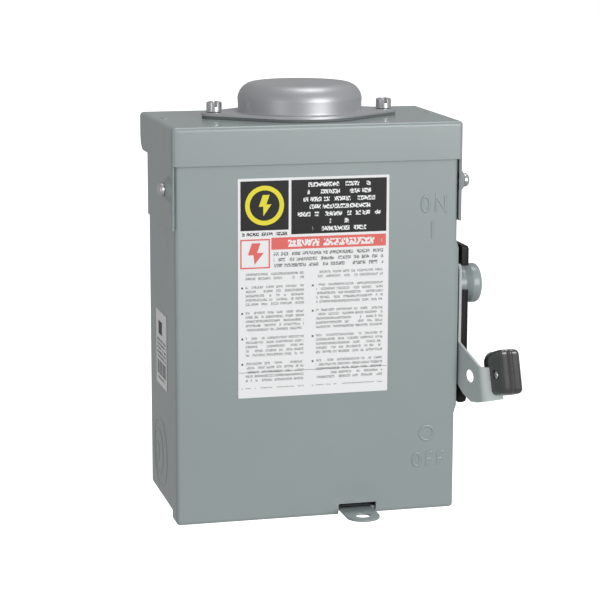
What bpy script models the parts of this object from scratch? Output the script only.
"""Outdoor AC disconnect box: a two-pole, side-operated safety switch in a rain-tight sheet steel case.

The case is a pan hung on a wall, a rain hood over its top, and a cover that hinges up on two pins
in the hood's ears. A side handle turns a shaft through the right wall. The shaft's crank carries a
drive pin and an over-centre spring, and the pin turns a moulded rotor whose two copper blades
bridge the line and load jaws.

Sizes are in millimetres and are turned into metres as each mesh is stored. X points right and Z up,
the cover faces -Y, and the origin is the middle of the back of the case.
"""
import math

import bmesh
import bpy
from mathutils import Matrix, Vector

MM = 0.001
GAP = 0.3            # between pieces that rest on each other

# Case
HEIGHT = 244.6       # bottom edge of the cover to the top of the hood
DEPTH = 95.0         # back of the case to the front of the cover
COVER_WIDTH = 177.2
SHEET = 1.5          # steel sheet of the case, hood and cover

# Cover
COVER_FLANGE = 14.5  # depth of the flanges folded back from the front
BOTTOM_FLANGE = 11.0
BEND = 2.2           # outer radius of the folds
HINGE_BEHIND = 7.0   # hinge axis behind the front of the cover
HINGE_DROP = 37.6    # hinge axis below the top of the hood
COVER_ABOVE_HINGE = 17.0
BULGE = 1.6          # the right flange stands out beside the handle guard
BULGE_RAMP = 4.0

# Hood
HOOD_REACH = 2.9     # hood front ahead of the cover's front
HOOD_LIP = 23.3
HOOD_SIDE_GAP = 0.4
HOOD_FLARE = 1.5     # each side stands out this much more at the back
EAR_DROP = 61.6
EAR_DEPTH = 72.0     # how far behind the cover's front the ears reach
BOSS_BASE_R = 8.5
BOSS_TOP_R = 5.0
BOSS_HEIGHT = 3.0
PIN_R = 2.4
PIN_HEAD_R = 4.2
PIN_HEAD_HEIGHT = 3.6
RUNNING = 0.3        # radial clearance of loose turning fits

# Hub closing plate on top
HUB_R = 38.6
HUB_HEIGHT = 19.5
HUB_FLAT_R = 27.5
HUB_WALL = 2.2
HUB_RIM_R = 41.5
HUB_RIM = 1.8
HUB_SCREW_X = 54.2
HUB_LOBE_R = 8.0
HUB_OPENING_R = 31.0
GASKET = 1.2

# Handle
PIVOT_BEHIND = 22.0
PIVOT_HEIGHT = 139.5
HANDLE_THROW = 100.0
ROTOR_THROW = 60.0
SHAFT_R = 5.0
LEVER_SHEET = 1.6
LEVER_OUT = 4.6      # inner face of the lever outside the case wall
LEVER_HUB_R = 15.0
CUP_R = 10.4         # neck of the hub cup
CUP_NECK = 6.2
CUP_FLARE = 10.0     # where the flare reaches the full radius
CUP_DOME_R = 12.4
CUP_EDGE = 3.0       # rounding of the cup's outer edge
CUP_REACH = 16.8
LEVER_FRONT = 3.0    # front edge of the lever behind the cover's front
LEVER_LOW = 61.5     # lever's lower end below the pivot
ARM_OUT = 6.8        # how far the slanted part of the arm stands out
ARM_AHEAD = 17.0     # arm's outer part ahead of the cover's front
ARM_HOLE_R = 4.2
GRIP_START = 10.6    # grip's inner face from the lever's plane
GRIP_WIDTH = 18.6
GRIP_NARROWS = (4.6, 2.1)      # how far the grip's sides draw in towards its front, inner and outer
GRIP_LEAN = 0.13     # sideways lean of the grip and the arm's bend for each unit of height
GRIP_TILT = 0.3      # how far the grip's ends drop towards the back
GRIP_AHEAD = 11.5    # grip's front face ahead of the arm
GRIP_DEPTH = 22.5
GRIP_HEIGHT = 28.5
GRIP_BELOW = 61.8    # grip's lower front edge below the pivot
GRIP_EDGE = 2.4
TONGUE = 9.0         # how far the arm runs into the grip
GUARD_BELOW = 74.0   # guard's ends below and above the pivot
GUARD_ABOVE = 26.5
GUARD_OUT = 12.1
GUARD_FRONT = 6.0
GUARD_BACK = 60.0
GUARD_WALL = 3.6

# Switch
ROTOR_R = 9.0
BLADE_REACH = 32.0
BLADE_SHEET = 2.0
BLADE_WIDTH = 9.0
BLADE_ON_ANGLE = 50.0     # blade legs above and below straight back when the switch is on
POLE_X = 22.0             # each pole's plane from the middle
BASE_HALF = 44.0
BASE_WALL = 3.0
BASE_BELOW = 74.0         # base's ends below and above the pivot
BASE_ABOVE = 60.0
BASE_BEHIND_PIVOT = 36.0  # base's floor behind the pivot
JAW_SHEET = 1.6
LUG = 15.0
LUG_BORE_R = 4.2
LUG_DROP = 50.0           # load lugs below the pivot
LUG_RISE = 42.0           # line lugs above the pivot
CRANK_R = 12.5            # drive pin from the pivot
CRANK_REST_ANGLE = 140.0
DRIVE_PIN_R = 2.0
SPRING_COILS = 11
SPRING_R = 2.7
SPRING_WIRE_R = 0.55
ANCHOR_DROP = 52.0        # spring anchor below the pivot
ANCHOR_R = 2.2

# Hasp tab and its slot in the cover
TAB_X = 24.8
TAB_WIDTH = 21.0
TAB_REACH = 26.5
HASP_R = 4.8
SLOT_WIDTH = 24.2
SLOT_HEIGHT = 7.0
FLOOR_ABOVE = 2.4         # underside of the case floor above the cover's bottom edge

BOTTOM = -HEIGHT / 2
TOP = HEIGHT / 2
FRONT = -DEPTH
COVER_HALF = COVER_WIDTH / 2
CASE_HALF = COVER_HALF - SHEET - 0.2
HOOD_HALF = COVER_HALF + HOOD_SIDE_GAP + SHEET
UNDER_HOOD = TOP - SHEET - GAP
HINGE_Y = FRONT + HINGE_BEHIND
HINGE_Z = TOP - HINGE_DROP
PIVOT_Y = FRONT + PIVOT_BEHIND
PIVOT_Z = BOTTOM + PIVOT_HEIGHT
HUB_Y = FRONT / 2
FLOOR = BOTTOM + FLOOR_ABOVE
LEVER_X = CASE_HALF + LEVER_OUT
BASE_FLOOR_Y = PIVOT_Y + BASE_BEHIND_PIVOT
BASE_BACK_Y = -SHEET - GAP
WHOLE = 400.0             # longer than any piece, for cutters that run right through

PAINT = ("grey_enamel", (0.35, 0.40, 0.39), 0.38, 0.0)
HUB_METAL = ("satin_zinc_casting", (0.30, 0.31, 0.33), 0.42, 0.6)
ZINC = ("zinc_plate", (0.62, 0.63, 0.62), 0.30, 0.9)
BLACK = ("black_moulding", (0.018, 0.018, 0.02), 0.35, 0.0)
PHENOLIC = ("brown_phenolic", (0.07, 0.05, 0.045), 0.55, 0.0)
COPPER = ("tinned_copper", (0.72, 0.45, 0.30), 0.32, 1.0)
LUG_METAL = ("aluminium_lug", (0.70, 0.71, 0.72), 0.38, 0.9)
RUBBER = ("gasket_rubber", (0.03, 0.03, 0.03), 0.8, 0.0)
PAPER = ("white_label", (0.85, 0.85, 0.83), 0.45, 0.0)
NYLON = ("white_nylon", (0.75, 0.73, 0.68), 0.45, 0.0)
SPRING_STEEL = ("spring_steel", (0.35, 0.35, 0.36), 0.35, 0.95)
CLEAR = ("smoke_polycarbonate", (0.55, 0.60, 0.62), 0.15, 0.0)


def material(finish):
    """The finish's material, made on first use."""
    name, colour, roughness, metallic = finish
    made = bpy.data.materials.get(name)
    if made is None:
        made = bpy.data.materials.new(name)
        made.use_nodes = True
        shader = made.node_tree.nodes["Principled BSDF"]
        shader.inputs["Base Color"].default_value = (*colour, 1.0)
        shader.inputs["Roughness"].default_value = roughness
        shader.inputs["Metallic"].default_value = metallic
    return made


def store(name, bm, finish, origin=(0.0, 0.0, 0.0), smooth=True):
    """Store a millimetre mesh as an object in metres, with its origin at the given point."""
    bmesh.ops.recalc_face_normals(bm, faces=bm.faces)
    bm.transform(Matrix.Scale(MM, 4) @ Matrix.Translation(-Vector(origin)))
    mesh = bpy.data.meshes.new(name)
    bm.to_mesh(mesh)
    bm.free()
    if smooth:
        mesh.shade_smooth()
        mesh.set_sharp_from_angle(angle=math.radians(35))
    mesh.materials.append(material(finish))
    made = bpy.data.objects.new(name, mesh)
    made.location = Vector(origin) * MM
    bpy.context.scene.collection.objects.link(made)
    return made


def tool(bm):
    """A hidden cutter."""
    made = store("cutter", bm, PAINT, smooth=False)
    made.hide_render = True
    made.display_type = 'WIRE'
    return made


def combine(target, bm, operation):
    """Cut a shape from an object, or join it on, with an exact Boolean."""
    step = target.modifiers.new(operation.title(), 'BOOLEAN')
    step.operation = operation
    step.solver = 'EXACT'
    step.object = tool(bm)


def cut(target, *shapes):
    for shape in shapes:
        combine(target, shape, 'DIFFERENCE')


def join(target, *shapes):
    for shape in shapes:
        combine(target, shape, 'UNION')


def block(x, y, z, bevel=0.0):
    """A box between three pairs of limits, with all edges bevelled if asked."""
    bm = bmesh.new()
    bmesh.ops.create_cube(bm, size=1.0)
    for vert in bm.verts:
        vert.co = Vector(pair[0] if side < 0 else pair[1] for pair, side in zip((x, y, z), vert.co))
    if bevel:
        bmesh.ops.bevel(bm, geom=bm.edges[:], offset=bevel, segments=2, affect='EDGES', profile=0.5)
    return bm


def spread(centre, half):
    """The limits of a stretch centred on a value."""
    return centre - half, centre + half


AXES = {'X': Matrix(((0, 0, 1), (1, 0, 0), (0, 1, 0))),
        'Y': Matrix(((1, 0, 0), (0, 0, 1), (0, 1, 0))),
        'Z': Matrix.Identity(3)}


def prism(axis, outline, low, high):
    """An outline extruded along an axis. Its two coordinates are the other axes, in X, Y, Z order."""
    bm = bmesh.new()
    turn = AXES[axis]
    rows = [[bm.verts.new(turn @ Vector((a, b, level))) for a, b in outline] for level in (low, high)]
    bm.faces.new(rows[0])
    bm.faces.new(rows[1])
    for i in range(len(outline)):
        j = (i + 1) % len(outline)
        bm.faces.new((rows[0][i], rows[0][j], rows[1][j], rows[1][i]))
    return bm


def turned(axis, centre, profile, segments=24):
    """A (radius, height) profile turned about an axis through a point. Ends on the axis are closed."""
    bm = bmesh.new()
    turn = AXES[axis]
    middle = Vector(centre)
    rings = []
    for radius, height in profile:
        if radius == 0:
            rings.append([bm.verts.new(middle + turn @ Vector((0, 0, height)))])
            continue
        angles = (2 * math.pi * i / segments for i in range(segments))
        rings.append([bm.verts.new(middle + turn @ Vector((radius * math.cos(a),
                                                           radius * math.sin(a), height)))
                      for a in angles])
    closed = profile[0][0] > 0
    pairs = list(zip(rings, rings[1:] + rings[:1])) if closed else list(zip(rings, rings[1:]))
    for low, high in pairs:
        for i in range(segments):
            j = (i + 1) % segments
            corners = [low[i % len(low)], low[j % len(low)], high[j % len(high)], high[i % len(high)]]
            bm.faces.new(dict.fromkeys(corners))
    return bm


def rod(axis, centre, radius, low, high, segments=24):
    """A plain round bar along an axis; low and high are measured from the centre point."""
    return turned(axis, centre, [(0, low), (radius, low), (radius, high), (0, high)], segments)


def tube(axis, centre, outer, inner, low, high, segments=24):
    """A round sleeve along an axis."""
    return turned(axis, centre, [(outer, low), (outer, high), (inner, high), (inner, low)], segments)


def arc(centre, radius, start, stop, steps):
    """Points along a circle between two angles in degrees."""
    angles = (math.radians(start + (stop - start) * i / steps) for i in range(steps + 1))
    return [(centre[0] + radius * math.cos(a), centre[1] + radius * math.sin(a)) for a in angles]


def polar(angle, radius):
    """A point (y, z) at an angle in degrees about the handle's pivot, measured from straight back."""
    way = math.radians(angle)
    return (PIVOT_Y + radius * math.cos(way), PIVOT_Z + radius * math.sin(way))


def fold_edges(bm, chosen, radius):
    """Round the chosen edges of an unbent shape as a sheet metal fold."""
    edges = [edge for edge in bm.edges if chosen(edge)]
    bmesh.ops.bevel(bm, geom=edges, offset=radius, segments=3, affect='EDGES', profile=0.5)


# ---------------------------------------------------------------------------------------- the case

def ring_groove(axis, centre, radius, sink):
    """The thin sheared ring round a knockout, half through the wall."""
    return tube(axis, centre, radius, radius - 0.9, *sink, segments=20)


def make_case():
    """The pan: back, sides, floor and narrow top flanges, with the hasp tab running out of the floor."""
    roof = UNDER_HOOD
    front = FRONT + SHEET + 1.0
    case = store("enclosure_base", block((-CASE_HALF, CASE_HALF), (front, 0), (FLOOR, roof)), PAINT)
    inner = CASE_HALF - SHEET
    cut(case, block((-inner, inner), (front - 1, -SHEET), (FLOOR + SHEET, roof - SHEET)))
    cut(case, block((-inner + 12, inner - 12), (front - 1, -SHEET - 6), (roof - SHEET - 1, roof + 1)))
    corner_clear = FRONT + HINGE_BEHIND + 21.0
    cut(case, block((-WHOLE, WHOLE), (front - 1, corner_clear), (TOP - EAR_DROP + 1.5, roof + 1)))
    tip = FRONT - TAB_REACH
    round_r = TAB_WIDTH / 2
    outline = [(TAB_X + round_r, front + 1), (TAB_X - round_r, front + 1)]
    outline += arc((TAB_X, tip + round_r), round_r, 180, 360, 10)
    join(case, prism('Z', outline, FLOOR, FLOOR + SHEET))
    cut(case, rod('Z', (TAB_X, FRONT - 16.0, FLOOR), HASP_R, -1, SHEET + 1, 20))
    cut(case, rod('X', (CASE_HALF, PIVOT_Y, PIVOT_Z), SHAFT_R + 2.3, -SHEET - 1, 1))
    for z in guard_screw_heights():
        cut(case, rod('X', (CASE_HALF, guard_screw_y(), z), 2.1, -SHEET - 1, 1, 12))
    for x, z in mounting_holes() + base_screw_places():
        cut(case, rod('Y', (x, 0, z), 3.4 if (x, z) in mounting_holes() else 2.3, -SHEET - 1, 1, 16))
    for x in (-45.0, 0.0, 45.0):
        centre = (x, FRONT / 2, FLOOR)
        cut(case, ring_groove('Z', centre, 14.0, (-0.5, 0.5)), ring_groove('Z', centre, 10.8, (-0.5, 0.5)))
    for side in (-CASE_HALF, CASE_HALF):
        cut(case, ring_groove('X', (side, FRONT + 62.5, BOTTOM + 31.0), 22.0, (-0.5, 0.5)),
            ring_groove('X', (side, FRONT + 68.5, BOTTOM + 30.0), 14.2, (-0.5, 0.5)))
    return case


def mounting_holes():
    """Screw holes through the back: one high in the middle and two low at the sides."""
    return [(0.0, TOP - 22.0), (-68.0, BOTTOM + 24.0), (68.0, BOTTOM + 24.0)]


def sheared(bm, extra):
    """Move the sides of a hood shape out towards the back."""
    start = FRONT - HOOD_REACH
    for vert in bm.verts:
        grow = HOOD_FLARE * (vert.co.y - start) / (DEPTH + HOOD_REACH)
        if abs(vert.co.x) > extra:
            vert.co.x += math.copysign(grow, vert.co.x)
    return bm


def make_hood():
    """The rain hood: a roof, a front lip and two long ears, welded over the top of the pan."""
    front = FRONT - HOOD_REACH
    bm = block((-HOOD_HALF, HOOD_HALF), (front, 0), (TOP - EAR_DROP, TOP))
    sheared(bm, 1)

    def outer_fold(edge):
        ends = [vert.co for vert in edge.verts]
        along_front = all(abs(co.y - front) < 0.01 for co in ends)
        along_top = all(abs(co.z - TOP) < 0.01 for co in ends)
        level = abs(ends[0].z - ends[1].z) < 0.01
        across = abs(ends[0].x - ends[1].x) > 10
        return (along_front and along_top) or (along_front and not level) or (along_top and not across)
    fold_edges(bm, outer_fold, BEND)
    hood = store("rain_hood", bm, PAINT)
    inner = HOOD_HALF - SHEET
    hollow = block((-inner, inner), (front + SHEET, 10), (TOP - EAR_DROP - 5, TOP - SHEET))
    cut(hood, sheared(hollow, 1))
    cut(hood, block((-inner, inner), (front - 5, front + SHEET + 3), (TOP - EAR_DROP - 5, TOP - HOOD_LIP)))
    ear_end = FRONT + EAR_DEPTH
    step = TOP - HOOD_LIP
    tail = [(ear_end, TOP - EAR_DROP - 5), (10, TOP - EAR_DROP - 5), (10, step + 9)]
    tail += [(-1.0, step + 9)] + arc((-10.0, step + 9), 9.0, 0, -90, 6)[1:] + [(ear_end, step)]
    cut(hood, prism('X', tail, -WHOLE, WHOLE))
    cut(hood, rod('Z', (0, HUB_Y, TOP), HUB_OPENING_R, -SHEET - 1, 1, 32))
    for x in (-HUB_SCREW_X, HUB_SCREW_X):
        cut(hood, rod('Z', (x, HUB_Y, TOP), 2.3, -SHEET - 1, 1, 12))
    for side in (-1, 1):
        face = side * hinge_face()
        base, peak = -0.5 * side, BOSS_HEIGHT * side
        cone = [(0, base), (BOSS_BASE_R, base), (BOSS_TOP_R, peak), (0, peak)]
        join(hood, turned('X', (face, HINGE_Y, HINGE_Z), cone))
        cut(hood, rod('X', (face, HINGE_Y, HINGE_Z), PIN_R + GAP, -8, 8, 16))
    return hood


def hinge_face():
    """Outer face of a hood ear at the hinge pin."""
    return HOOD_HALF + HOOD_FLARE * (HINGE_Y - FRONT + HOOD_REACH) / (DEPTH + HOOD_REACH)


def bulged_box(half, y, z):
    """A cover-sized box whose right side steps out beside the handle guard, in six levels."""
    low, high = PIVOT_Z - GUARD_BELOW, PIVOT_Z + GUARD_ABOVE
    levels = [(z[0], 0), (low - BULGE_RAMP, 0), (low, BULGE),
              (high, BULGE), (high + BULGE_RAMP, 0), (z[1], 0)]
    bm = bmesh.new()
    rings = []
    for level, out in levels:
        corners = ((-half, y[0]), (half + out, y[0]), (half + out, y[1]), (-half, y[1]))
        rings.append([bm.verts.new((a, b, level)) for a, b in corners])
    bm.faces.new(rings[0])
    bm.faces.new(rings[-1])
    for lower, upper in zip(rings, rings[1:]):
        for i in range(4):
            j = (i + 1) % 4
            bm.faces.new((lower[i], lower[j], upper[j], upper[i]))
    bmesh.ops.recalc_face_normals(bm, faces=bm.faces)
    return bm


def make_cover():
    """The front cover: a shallow pan that hinges up about the two pins in the hood's ears."""
    top = HINGE_Z + COVER_ABOVE_HINGE
    back = FRONT + COVER_FLANGE
    bm = bulged_box(COVER_HALF, (FRONT, back), (BOTTOM, top))

    def front_fold(edge):
        at_front = [abs(vert.co.y - FRONT) < 0.01 for vert in edge.verts]
        level = abs(edge.verts[0].co.z - edge.verts[1].co.z) < 0.01
        inside = BOTTOM + 1 < edge.verts[0].co.z < top - 1
        return all(at_front) and not (level and inside)
    fold_edges(bm, front_fold, BEND)
    cover = store("front_cover", bm, PAINT, origin=(0, HINGE_Y, HINGE_Z))
    inner = COVER_HALF - SHEET
    cut(cover, bulged_box(inner, (FRONT + SHEET, back + 5), (BOTTOM + SHEET, top - SHEET)))
    cut(cover, block((-inner, inner), (FRONT + BOTTOM_FLANGE, back + 5), (BOTTOM - 5, BOTTOM + SHEET + 1)))
    cut(cover, block((-inner, inner), (FRONT + 8.0, back + 5), (top - SHEET - 1, top + 5)))
    slot_x = spread(TAB_X + 1.0, SLOT_WIDTH / 2)
    cut(cover, block(slot_x, (FRONT - 5, back + 5), (BOTTOM - 5, BOTTOM + SLOT_HEIGHT)))
    for side in (-1, 1):
        place = (side * COVER_HALF, HINGE_Y, HINGE_Z)
        cut(cover, rod('X', place, PIN_R + RUNNING, -6, 6, 16))
    return cover


def make_hinge_pins():
    """Two headed pins, each riveted behind the cover's flange."""
    for side, name in ((-1, "hinge_pin_left"), (1, "hinge_pin_right")):
        seat = hinge_face() + BOSS_HEIGHT + GAP
        tail = COVER_HALF - SHEET - GAP
        profile = [(0, tail - 2.2), (3.6, tail - 2.2), (3.6, tail), (PIN_R, tail), (PIN_R, seat),
                   (PIN_HEAD_R, seat), (PIN_HEAD_R, seat + 1.4), (2.6, seat + PIN_HEAD_HEIGHT),
                   (0, seat + PIN_HEAD_HEIGHT)]
        profile = [(radius, side * height) for radius, height in profile]
        store(name, turned('X', (0, HINGE_Y, HINGE_Z), profile, 20), ZINC)


# ------------------------------------------------------------------------------- the hub plate

def hub_outline(shrink):
    """Rim circle with a lobe round each screw, joined by straight flanks."""
    rim, lobe = HUB_RIM_R - shrink, HUB_LOBE_R - shrink
    lean = math.degrees(math.acos((rim - lobe) / HUB_SCREW_X))
    points = arc((HUB_SCREW_X, HUB_Y), lobe, -lean, lean, 8)
    points += arc((0, HUB_Y), rim, lean, 180 - lean, 12)
    points += arc((-HUB_SCREW_X, HUB_Y), lobe, 180 - lean, 180 + lean, 8)
    points += arc((0, HUB_Y), rim, 180 + lean, 360 - lean, 12)
    return points


def dome(grow, segments=40):
    """The closing plate's dome, thinner by the given amount all over."""
    side = HUB_R - grow
    top = HUB_HEIGHT - grow
    flat = HUB_FLAT_R
    corner = HUB_R - 0.6 - HUB_FLAT_R
    shoulder = arc((flat, HUB_HEIGHT - corner), corner - grow, 0, 90, 5)
    profile = [(0, -1.0 if grow else 0.0), (side, -1.0 if grow else 0.0), *shoulder, (0, top)]
    return turned('Z', (0, HUB_Y, TOP + GASKET + 2 * GAP), profile, segments)


def make_hub_plate():
    """The cast closing plate over the conduit hub opening, its gasket and its two screws."""
    seat = TOP + GASKET + 2 * GAP
    plate = store("hub_closing_plate", prism('Z', hub_outline(0), seat, seat + HUB_RIM), HUB_METAL)
    join(plate, dome(0))
    cut(plate, dome(HUB_WALL))
    gasket = store("hub_gasket", prism('Z', hub_outline(1.0), TOP + GAP, TOP + GAP + GASKET), RUBBER)
    cut(gasket, rod('Z', (0, HUB_Y, TOP), HUB_R - HUB_WALL - 2, -1, GASKET + 2, 32))
    for x in (-HUB_SCREW_X, HUB_SCREW_X):
        for piece in (plate, gasket):
            cut(piece, rod('Z', (x, HUB_Y, TOP), 2.3, -1, 6, 12))
    for x, name in ((-HUB_SCREW_X, "hub_screw_left"), (HUB_SCREW_X, "hub_screw_right")):
        screw(name, 'Z', (x, HUB_Y, seat + HUB_RIM + GAP), 1, 4.9, 6.4, 2.0, 11.0, slot=2.0)


def screw(name, axis, seat, out, head_r, head, shank_r, length, slot=0.0, finish=ZINC):
    """A screw whose head stands on a seat; out is +1 or -1, the way the head faces along its axis."""
    profile = [(0, -length), (shank_r, -length), (shank_r, 0), (head_r, 0),
               (head_r, head * 0.75), (head_r * 0.8, head), (0, head)]
    profile = [(radius, out * height) for radius, height in profile]
    made = store(name, turned(axis, seat, profile, 12), finish)
    if slot:
        turn = AXES[axis]
        corners = [turn @ Vector((a * head_r * 1.2, b * slot / 2, out * c)) for a in (-1, 1) for b in (-1, 1)
                   for c in (head * 0.55, head * 1.4)]
        limits = [sorted({round(Vector(seat)[i] + corner[i], 4) for corner in corners}) for i in range(3)]
        cut(made, block(*limits))
    return made


# ------------------------------------------------------------------------------------ the handle

def guard_screw_y():
    return FRONT + GUARD_BACK - 8.0


def guard_screw_heights():
    return [PIVOT_Z - GUARD_BELOW + 14.0, PIVOT_Z + GUARD_ABOVE - 10.0]


def make_guard():
    """The black moulded guard: a channel open to the front, in which the lever swings."""
    wall = CASE_HALF + GAP
    outer = CASE_HALF + GUARD_OUT
    z = (PIVOT_Z - GUARD_BELOW, PIVOT_Z + GUARD_ABOVE)
    bm = block((wall, outer), (FRONT + GUARD_FRONT, FRONT + GUARD_BACK), z)

    def outer_edge(edge):
        outside = [abs(vert.co.x - outer) < 0.01 for vert in edge.verts]
        ends = abs(edge.verts[0].co.x - edge.verts[1].co.x) > 1
        return all(outside) or ends
    edges = [edge for edge in bm.edges if outer_edge(edge)]
    bmesh.ops.bevel(bm, geom=edges, offset=2.4, segments=2, affect='EDGES', profile=0.5)
    guard = store("handle_guard", bm, BLACK)
    cover_back = FRONT + COVER_FLANGE + 3.0
    channel = (LEVER_X - 0.8, LEVER_X + LEVER_SHEET + 0.6)
    cut(guard, block(channel, (FRONT, FRONT + 42.0), (z[0] - 5, z[1] + 5)))
    cut(guard, block((wall - 5, channel[0] + 0.1), (FRONT, cover_back), (z[0] - 5, z[1] + 5)))
    cut(guard, rod('X', (channel[1], PIVOT_Y, PIVOT_Z), CUP_R + 1.2, -0.1, 20, 28))
    window = (PIVOT_Z - 2.0, PIVOT_Z + LEVER_HUB_R - 1.2)
    cut(guard, block((channel[1] - 0.1, outer + 5), (FRONT, PIVOT_Y), window))
    cut(guard, rod('X', (wall, PIVOT_Y, PIVOT_Z), SHAFT_R + 1.0, -1, 8))
    for height in guard_screw_heights():
        cut(guard, rod('X', (wall, guard_screw_y(), height), 1.7, -1, 9.0, 12))
    names = ("guard_screw_lower", "guard_screw_upper")
    for height, name in zip(guard_screw_heights(), names):
        seat = (CASE_HALF - SHEET - GAP, guard_screw_y(), height)
        screw(name, 'X', seat, -1, 3.4, 2.0, 1.4, 9.0)


def arm_stations():
    """The arm from the lever outwards: plan point, its lower and upper edges, and its share of the lean."""
    plate = LEVER_X + LEVER_SHEET / 2
    near, far = FRONT + LEVER_FRONT, FRONT - ARM_AHEAD
    low = -LEVER_LOW
    return [((plate, near + 6.0), low, -30.0, 0.0),
            ((plate, near), low + 1.0, -33.8, 0.0),
            ((plate + ARM_OUT / 2, (near + far) / 2), low - 8.6, -40.0, 0.5),
            ((plate + ARM_OUT, far), low - 6.5, -46.0, 1.0),
            ((plate + GRIP_START + TONGUE, far), low - 5.5, -47.0, 1.0)]


def arm_strip():
    """The arm's bent strip, skinned over its stations with mitred corners."""
    stations = arm_stations()
    points = [Vector(place) for place, _, _, _ in stations]
    bm = bmesh.new()
    rings = []
    for i, (_, low, high, leaning) in enumerate(stations):
        first = max(i - 1, 0)
        ways = [(b - a).normalized() for a, b in zip(points[first:i + 1], points[first + 1:i + 2])]
        middle = sum(ways, Vector((0, 0))).normalized()
        across = Vector((-middle.y, middle.x)) * LEVER_SHEET / 2 / middle.dot(ways[0])
        ring = []
        for side, level in ((-1, low), (1, low), (1, high), (-1, high)):
            spot = points[i] + across * side
            spot.x += (high - level) * GRIP_LEAN * leaning
            ring.append(bm.verts.new((spot.x, spot.y, PIVOT_Z + level)))
        rings.append(ring)
    bm.faces.new(rings[0])
    bm.faces.new(rings[-1])
    for near, far in zip(rings, rings[1:]):
        for i in range(4):
            j = (i + 1) % 4
            bm.faces.new((near[i], near[j], far[j]))
            bm.faces.new((near[i], far[j], far[i]))
    bmesh.ops.recalc_face_normals(bm, faces=bm.faces)
    return bm


def make_lever():
    """The steel lever: a flat hub on the shaft, and an arm bent out in front of the guard."""
    pivot = (LEVER_X, PIVOT_Y, PIVOT_Z)
    front = FRONT + LEVER_FRONT
    lower = PIVOT_Z - LEVER_LOW
    outline = arc((PIVOT_Y, PIVOT_Z), LEVER_HUB_R, -40, 90, 10)
    outline += [(front + 3.0, PIVOT_Z + LEVER_HUB_R), (front, PIVOT_Z + LEVER_HUB_R - 3.0)]
    outline += [(front, lower + 0.5), (front + 7.0, lower + 0.5), (front + 15.0, lower + 28.0)]
    lever = store("handle_lever", prism('X', outline, LEVER_X, LEVER_X + LEVER_SHEET), PAINT, origin=pivot)
    join(lever, arm_strip())
    cut(lever, rod('X', pivot, SHAFT_R + GAP, -2, 4))
    cut(lever, padlock_bore())
    return lever


def padlock_bore():
    """A round bar square to the slanted part of the arm, at its middle."""
    stations = arm_stations()
    start, stop = Vector(stations[1][0]), Vector(stations[3][0])
    slope = stop - start
    place = start + slope * 0.47
    bm = rod('X', (0, 0, 0), ARM_HOLE_R, -6, 6, 16)
    turn = math.atan2(slope.y, slope.x) + math.pi / 2
    bm.transform(Matrix.Translation((*place, PIVOT_Z - LEVER_LOW + 7.8)) @ Matrix.Rotation(turn, 4, 'Z'))
    return bm


def make_hub_cup():
    """The pressed cup over the end of the shaft: a neck, a flare, and a nearly flat end with a round edge."""
    seat = (LEVER_X + LEVER_SHEET + GAP, PIVOT_Y, PIVOT_Z)
    flat_r = CUP_DOME_R - CUP_EDGE
    edge_low = CUP_REACH - 0.8 - CUP_EDGE
    rounding = arc((flat_r, edge_low), CUP_EDGE, 0, 90, 5)
    profile = [(0, 0), (CUP_R, 0), (CUP_R, CUP_NECK), (CUP_DOME_R, CUP_FLARE), *rounding,
               (flat_r * 0.55, CUP_REACH - 0.25), (0, CUP_REACH)]
    cup = store("handle_hub", turned('X', seat, profile, 28), PAINT, origin=seat)
    cut(cup, rod('X', seat, SHAFT_R + GAP, -1, 10.0))


def grip_outline(x0):
    """The grip's plan, from the inner front corner anticlockwise: the sides draw in towards the front."""
    front = FRONT - ARM_AHEAD - GRIP_AHEAD
    back = front + GRIP_DEPTH
    x1 = x0 + GRIP_WIDTH
    inner, outer = GRIP_NARROWS
    return [(x0 + inner, front), (x1 - outer, front), (x1, front + 5.5), (x1, back - 3.0), (x1 - 2.5, back),
            (x0 + 2.6, back), (x0, back - 3.5), (x0, front + GRIP_AHEAD)]


def make_grip():
    """The moulded grip pressed on the end of the arm, and the screw in a pocket in its side."""
    x0 = LEVER_X + LEVER_SHEET / 2 + GRIP_START
    arm_y = FRONT - ARM_AHEAD
    front = arm_y - GRIP_AHEAD
    low = PIVOT_Z - GRIP_BELOW
    top = low + GRIP_HEIGHT
    bm = prism('Z', grip_outline(x0), low, top)
    rims = [edge for edge in bm.edges if abs(edge.verts[0].co.z - edge.verts[1].co.z) < 0.01]
    bmesh.ops.bevel(bm, geom=rims, offset=GRIP_EDGE, segments=2, affect='EDGES', profile=0.5)
    for vert in bm.verts:
        vert.co.x += (top - vert.co.z) * GRIP_LEAN
        vert.co.z -= (vert.co.y - front) * GRIP_TILT
    grip = store("handle_grip", bm, BLACK, origin=(x0, PIVOT_Y, PIVOT_Z))
    _, arm_low, arm_high, _ = arm_stations()[-1]
    tongue_end = x0 + TONGUE + GAP + (arm_high - arm_low) * GRIP_LEAN
    cut(grip, block((x0 - 5, tongue_end), spread(arm_y, LEVER_SHEET / 2 + GAP),
                    (PIVOT_Z + arm_low - 8.0, PIVOT_Z + arm_high + 2 * GAP)))
    height = low + GRIP_HEIGHT / 2 - 2.5
    seat = (x0 + 3.3 + (top - height) * GRIP_LEAN, front + 6.3, height)
    cut(grip, rod('X', seat, 2.6 + GAP, -8.0, 0.0, 16))
    cut(grip, rod('X', seat, 1.5 + GAP, -3, 8.0, 12))
    screw("grip_screw", 'X', (seat[0] - GAP, seat[1], seat[2]), -1, 2.6, 1.0, 1.5, 7.0)


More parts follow.
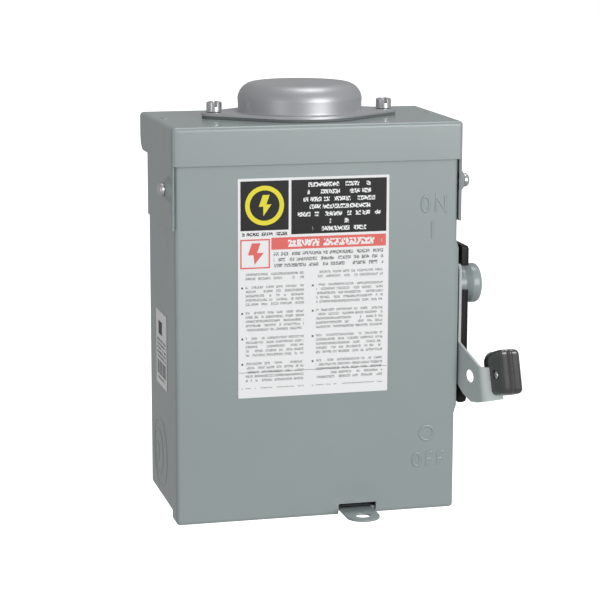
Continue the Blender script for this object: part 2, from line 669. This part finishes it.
def make_shaft():
    """The steel shaft through the case wall, its nylon bush and the ring that keeps it in."""
    pivot = (0, PIVOT_Y, PIVOT_Z)
    inner_end = crank_x()[0]
    outer_end = LEVER_X + LEVER_SHEET + 9.5
    store("handle_shaft", rod('X', pivot, SHAFT_R, inner_end, outer_end), ZINC,
          origin=(inner_end, PIVOT_Y, PIVOT_Z))
    wall_in, wall_out = CASE_HALF - SHEET, CASE_HALF
    bush_r = SHAFT_R + 2.0
    profile = [(SHAFT_R + RUNNING, wall_in - 2.0), (bush_r + 3, wall_in - 2.0), (bush_r + 3, wall_in - GAP),
               (bush_r, wall_in - GAP), (bush_r, wall_out), (SHAFT_R + RUNNING, wall_out)]
    store("shaft_bush", turned('X', pivot, profile), NYLON)
    ring_x = wall_in - 2.0 - GAP
    ring = tube('X', pivot, SHAFT_R + 3.0, SHAFT_R + 0.1, ring_x - 1.2, ring_x, 20)
    store("shaft_ring", ring, SPRING_STEEL)


# ------------------------------------------------------------------------------------ the switch

def crank_x():
    """The crank's inner and outer faces."""
    return BASE_HALF + 13.0, BASE_HALF + 16.0


def make_crank():
    """The crank on the inner end of the shaft, with the pin that turns the rotor."""
    low, high = crank_x()
    pin_y, pin_z = polar(CRANK_REST_ANGLE, CRANK_R)
    lean = math.degrees(math.acos((SHAFT_R + 3 - 4.5) / CRANK_R))
    outline = arc((pin_y, pin_z), 4.5, CRANK_REST_ANGLE - lean, CRANK_REST_ANGLE + lean, 8)
    outline += arc((PIVOT_Y, PIVOT_Z), SHAFT_R + 3, CRANK_REST_ANGLE + lean,
                   CRANK_REST_ANGLE + 360 - lean, 16)
    crank = store("drive_crank", prism('X', outline, low, high), ZINC, origin=(low, PIVOT_Y, PIVOT_Z))
    cut(crank, rod('X', (low, PIVOT_Y, PIVOT_Z), SHAFT_R + 0.1, -1, 5))
    cut(crank, rod('X', (low, pin_y, pin_z), DRIVE_PIN_R + 0.1, -1, 5, 16))
    pin_start = BASE_HALF + 1.2
    store("drive_pin", rod('X', (0, pin_y, pin_z), DRIVE_PIN_R, pin_start, high, 16), ZINC,
          origin=(high, PIVOT_Y, PIVOT_Z))


def make_rotor():
    """The moulded rotor, with its end disc and a curved slot that gives the drive pin lost motion."""
    end = BASE_HALF - BASE_WALL
    disc = (BASE_HALF + 1.0, BASE_HALF + 4.0)
    journal = 5.0
    pivot = (0, PIVOT_Y, PIVOT_Z)
    profile = [(0, -BASE_HALF), (journal, -BASE_HALF), (journal, -end + GAP), (ROTOR_R, -end + GAP),
               (ROTOR_R, end - GAP), (journal, end - GAP), (journal, disc[0]), (17.0, disc[0]),
               (17.0, disc[1]), (0, disc[1])]
    rotor = store("switch_rotor", turned('X', pivot, profile, 24), BLACK, origin=pivot)
    lost = HANDLE_THROW - ROTOR_THROW
    half = DRIVE_PIN_R + 0.4
    start, stop = CRANK_REST_ANGLE + 12, CRANK_REST_ANGLE - lost - 12
    centre = (PIVOT_Y, PIVOT_Z)
    slot = arc(centre, CRANK_R + half, start, stop, 8) + arc(centre, CRANK_R - half, stop, start, 8)
    cut(rotor, prism('X', slot, disc[0] - 1, disc[1] + 1))
    for x in (-POLE_X, POLE_X):
        cut(rotor, prism('X', blade_outline(GAP), *spread(x, BLADE_SHEET / 2 + GAP)))
    return rotor


def blade_outline(grow):
    """A copper bridge bent like a V: two legs from the pivot, turned to the open position."""
    half = BLADE_WIDTH / 2 + grow
    angles = (ROTOR_THROW + BLADE_ON_ANGLE, ROTOR_THROW - BLADE_ON_ANGLE)
    corner = half / math.sin(math.radians(BLADE_ON_ANGLE))
    ends = []
    for angle in angles:
        tip = Vector(polar(angle, BLADE_REACH + grow))
        across = Vector((-math.sin(math.radians(angle)), math.cos(math.radians(angle)))) * half
        ends.append((tuple(tip + across), tuple(tip - across)))
    return [*ends[0], polar(ROTOR_THROW, corner), *ends[1], polar(ROTOR_THROW, -corner)]


def make_blades():
    for number, x in enumerate((-POLE_X, POLE_X), 1):
        store(f"blade_{number}", prism('X', blade_outline(0), *spread(x, BLADE_SHEET / 2)), COPPER,
              origin=(x, PIVOT_Y, PIVOT_Z))


def jaw_places():
    """Jaw tips (y, z): the upper and lower ends of a closed blade."""
    return [polar(BLADE_ON_ANGLE, BLADE_REACH), polar(-BLADE_ON_ANGLE, BLADE_REACH)]


def make_switch_base():
    """The moulded base: a thick floor, side walls with rotor bearings, and barriers between the poles."""
    z = (PIVOT_Z - BASE_BELOW, PIVOT_Z + BASE_ABOVE)
    base = store("switch_base", block((-BASE_HALF, BASE_HALF), (BASE_FLOOR_Y, BASE_BACK_Y), z), PHENOLIC)
    wall_front = PIVOT_Y + 10.0
    for side in (-1, 1):
        x = sorted((side * BASE_HALF, side * (BASE_HALF - BASE_WALL)))
        outline = [(BASE_FLOOR_Y + 1, z[0]), (BASE_FLOOR_Y + 1, z[1]),
                   (wall_front, z[1]), (wall_front, PIVOT_Z + 14),
                   (PIVOT_Y - 9, PIVOT_Z + 9), (PIVOT_Y - 9, PIVOT_Z - 9), (wall_front, PIVOT_Z - 14),
                   (wall_front, z[0])]
        join(base, prism('X', outline, *x))
    for low, high in ((z[0], PIVOT_Z - 38.0), (PIVOT_Z + 38.0, z[1])):
        join(base, block((-BASE_WALL / 2, BASE_WALL / 2), (wall_front, BASE_FLOOR_Y + 1), (low, high)))
    slot = [(PIVOT_Y - 12, PIVOT_Z - 5.0 - RUNNING), (PIVOT_Y - 12, PIVOT_Z + 5.0 + RUNNING)]
    slot += arc((PIVOT_Y, PIVOT_Z), 5.0 + RUNNING, 90, -90, 10)
    cut(base, prism('X', slot, -WHOLE, WHOLE))
    for x, height in base_screw_places():
        cut(base, rod('Y', (x, BASE_FLOOR_Y, height), 2.3, -1, WHOLE, 12),
            rod('Y', (x, BASE_FLOOR_Y, height), 4.4, -1, 3.0, 16))
    return base


def base_screw_places():
    """Screws (x, z) that hold the base to the back of the case."""
    return [(0.0, PIVOT_Z - 30.0), (0.0, PIVOT_Z + 30.0)]


def make_base_screws():
    for (x, z), name in zip(base_screw_places(), ("base_screw_lower", "base_screw_upper")):
        seat = BASE_FLOOR_Y + 3.0 - GAP
        length = -seat - 0.2
        screw(name, 'Y', (x, seat, z), -1, 3.9, 2.4, 1.9, length)


def make_bearing_caps():
    """A spring clip across each bearing slot keeps the rotor in."""
    for side, name in ((-1, "bearing_clip_left"), (1, "bearing_clip_right")):
        x = sorted((side * (BASE_HALF - BASE_WALL + 0.2), side * (BASE_HALF - 0.2)))
        front = PIVOT_Y - 9 - GAP
        clip = store(name, block(x, (front - 1.0, front), spread(PIVOT_Z, 8.0)), SPRING_STEEL)
        join(clip, block(x, (front - 0.5, PIVOT_Y - 5.0 - 2 * RUNNING), spread(PIVOT_Z, 3.0)))


def make_contacts():
    """Each pole's line and load contact: a forked jaw on a strap, a box lug and the lug's screw."""
    leaf = JAW_SHEET
    slot = BLADE_SHEET / 2 + 0.35
    floor = BASE_FLOOR_Y - GAP
    ends = (("line", jaw_places()[0], LUG_RISE), ("load", jaw_places()[1], -LUG_DROP))
    for side, (tip_y, tip_z), reach in ends:
        way = 1 if reach > 0 else -1
        for number, x in enumerate((-POLE_X, POLE_X), 1):
            lug_z = PIVOT_Z + reach
            strap_z = sorted((tip_z - way * 7.0, lug_z + way * LUG / 2))
            jaw = store(f"{side}_jaw_{number}", block(spread(x, 6.0), (floor - leaf, floor), strap_z), COPPER)
            web = floor - leaf
            leaf_front = tip_y - 6.0
            for lean in (-1, 1):
                faces = sorted((x + lean * slot, x + lean * (slot + leaf)))
                join(jaw, block(faces, (leaf_front, web + 0.5), spread(tip_z, 6.5)))
            lug_y = (web - GAP - LUG, web - GAP)
            body = block(spread(x, LUG / 2 + 0.5), lug_y, spread(lug_z, LUG / 2))
            lug_body = store(f"{side}_lug_{number}", body, LUG_METAL)
            middle = (x, web - GAP - LUG / 2 + 1.0, lug_z)
            cut(lug_body, rod('Z', middle, LUG_BORE_R, -LUG, LUG, 20))
            cut(lug_body, rod('Y', (x, lug_y[0], lug_z), 3.0 + GAP, -1, 3.5, 16))
            seat = (x, lug_y[0] + 1.4, lug_z)
            screw(f"{side}_lug_screw_{number}", 'Y', seat, -1, 3.0, 4.0, 2.6, 1.0, slot=1.0)


def make_spring():
    """The over-centre spring: a close coil with a hook round the drive pin and the anchor pin."""
    x = BASE_HALF + 8.6
    pin = polar(CRANK_REST_ANGLE, CRANK_R)
    anchor = (PIVOT_Y, PIVOT_Z - ANCHOR_DROP)
    lower_hook = arc(anchor, ANCHOR_R + SPRING_WIRE_R + GAP, -160, 80, 8)
    upper_hook = arc(pin, DRIVE_PIN_R + SPRING_WIRE_R + GAP, -100, 140, 8)
    start, stop = Vector((x, *lower_hook[-1])), Vector((x, *upper_hook[0]))
    along = (stop - start).normalized()
    side = Vector((1, 0, 0))
    other = along.cross(side)
    length = (stop - start).length
    tail = 8.0
    points = [Vector((x, *place)) for place in lower_hook]
    steps = SPRING_COILS * 8
    for i in range(steps + 1):
        turn = 2 * math.pi * i / 8
        centre = start + along * (tail + (length - 2 * tail) * i / steps)
        points.append(centre + (side * math.cos(turn) + other * math.sin(turn)) * SPRING_R)
    points += [Vector((x, *place)) for place in upper_hook]
    curve = bpy.data.curves.new("toggle_spring", 'CURVE')
    curve.dimensions = '3D'
    curve.bevel_depth = SPRING_WIRE_R * MM
    curve.bevel_resolution = 1
    curve.use_fill_caps = True
    line = curve.splines.new('POLY')
    line.points.add(len(points) - 1)
    for point, place in zip(line.points, points):
        point.co = (*(place * MM), 1.0)
    curve.materials.append(material(SPRING_STEEL))
    bpy.context.scene.collection.objects.link(bpy.data.objects.new("toggle_spring", curve))


def make_anchor():
    """The steel bracket on the base's side that holds the spring's lower end."""
    z = PIVOT_Z - ANCHOR_DROP
    x0 = BASE_HALF + GAP
    plate = block((x0, x0 + 1.6), (PIVOT_Y - 4.0, PIVOT_Y + 30.0), spread(z, 7.0))
    bracket = store("spring_anchor", plate, ZINC)
    join(bracket, rod('X', (x0, PIVOT_Y, z), ANCHOR_R, 0.5, 11.0, 14))


def make_shield():
    """The clear shield over the line lugs, standing on the base's side walls."""
    z = (PIVOT_Z + BLADE_REACH + 3.0, PIVOT_Z + BASE_ABOVE)
    front = PIVOT_Y + 10.0 - GAP
    shield = store("line_shield", block((-BASE_HALF, BASE_HALF), (front - 1.5, front), z), CLEAR)
    for x in (-POLE_X, POLE_X):
        cut(shield, rod('Y', (x, front, PIVOT_Z + LUG_RISE), 4.0, -3, 3, 16))


def make_ground():
    """The ground bar low on the left of the back, and its two screws."""
    x = -CASE_HALF + 22.0
    z = BOTTOM + 70.0
    back = -SHEET - GAP
    bar = store("ground_bar", block(spread(x, 6.0), (back - 8.0, back), spread(z, 18.0)), LUG_METAL)
    for offset, name in ((-10.0, "ground_screw_lower"), (10.0, "ground_screw_upper")):
        cut(bar, rod('Y', (x, back - 8.0, z + offset), 2.0, -1, 5.0, 12))
        screw(name, 'Y', (x, back - 8.0 - GAP, z + offset), -1, 3.4, 2.2, 1.7, 4.5)


def make_labels():
    """The warning label on the cover, and the rating label on the left side."""
    y = FRONT - 0.1
    place = (-2.9, y, BOTTOM + 145.5)
    sheet = block(spread(-2.9, 47.2), (y - 0.2, y), spread(BOTTOM + 145.5, 67.3))
    store("warning_label", sheet, PAPER, origin=place)
    x = -CASE_HALF - 0.1
    sheet = block((x - 0.2, x), (FRONT + 37.5, FRONT + 72.0), (BOTTOM + 75.5, BOTTOM + 123.0))
    store("rating_label", sheet, PAPER)


for old in list(bpy.data.objects):
    bpy.data.objects.remove(old, do_unlink=True)

make_case()
make_hood()
make_cover()
make_hinge_pins()
make_hub_plate()
make_guard()
make_lever()
make_hub_cup()
make_grip()
make_shaft()
make_crank()
make_rotor()
make_blades()
make_switch_base()
make_base_screws()
make_bearing_caps()
make_contacts()
make_spring()
make_anchor()
make_shield()
make_ground()
make_labels()
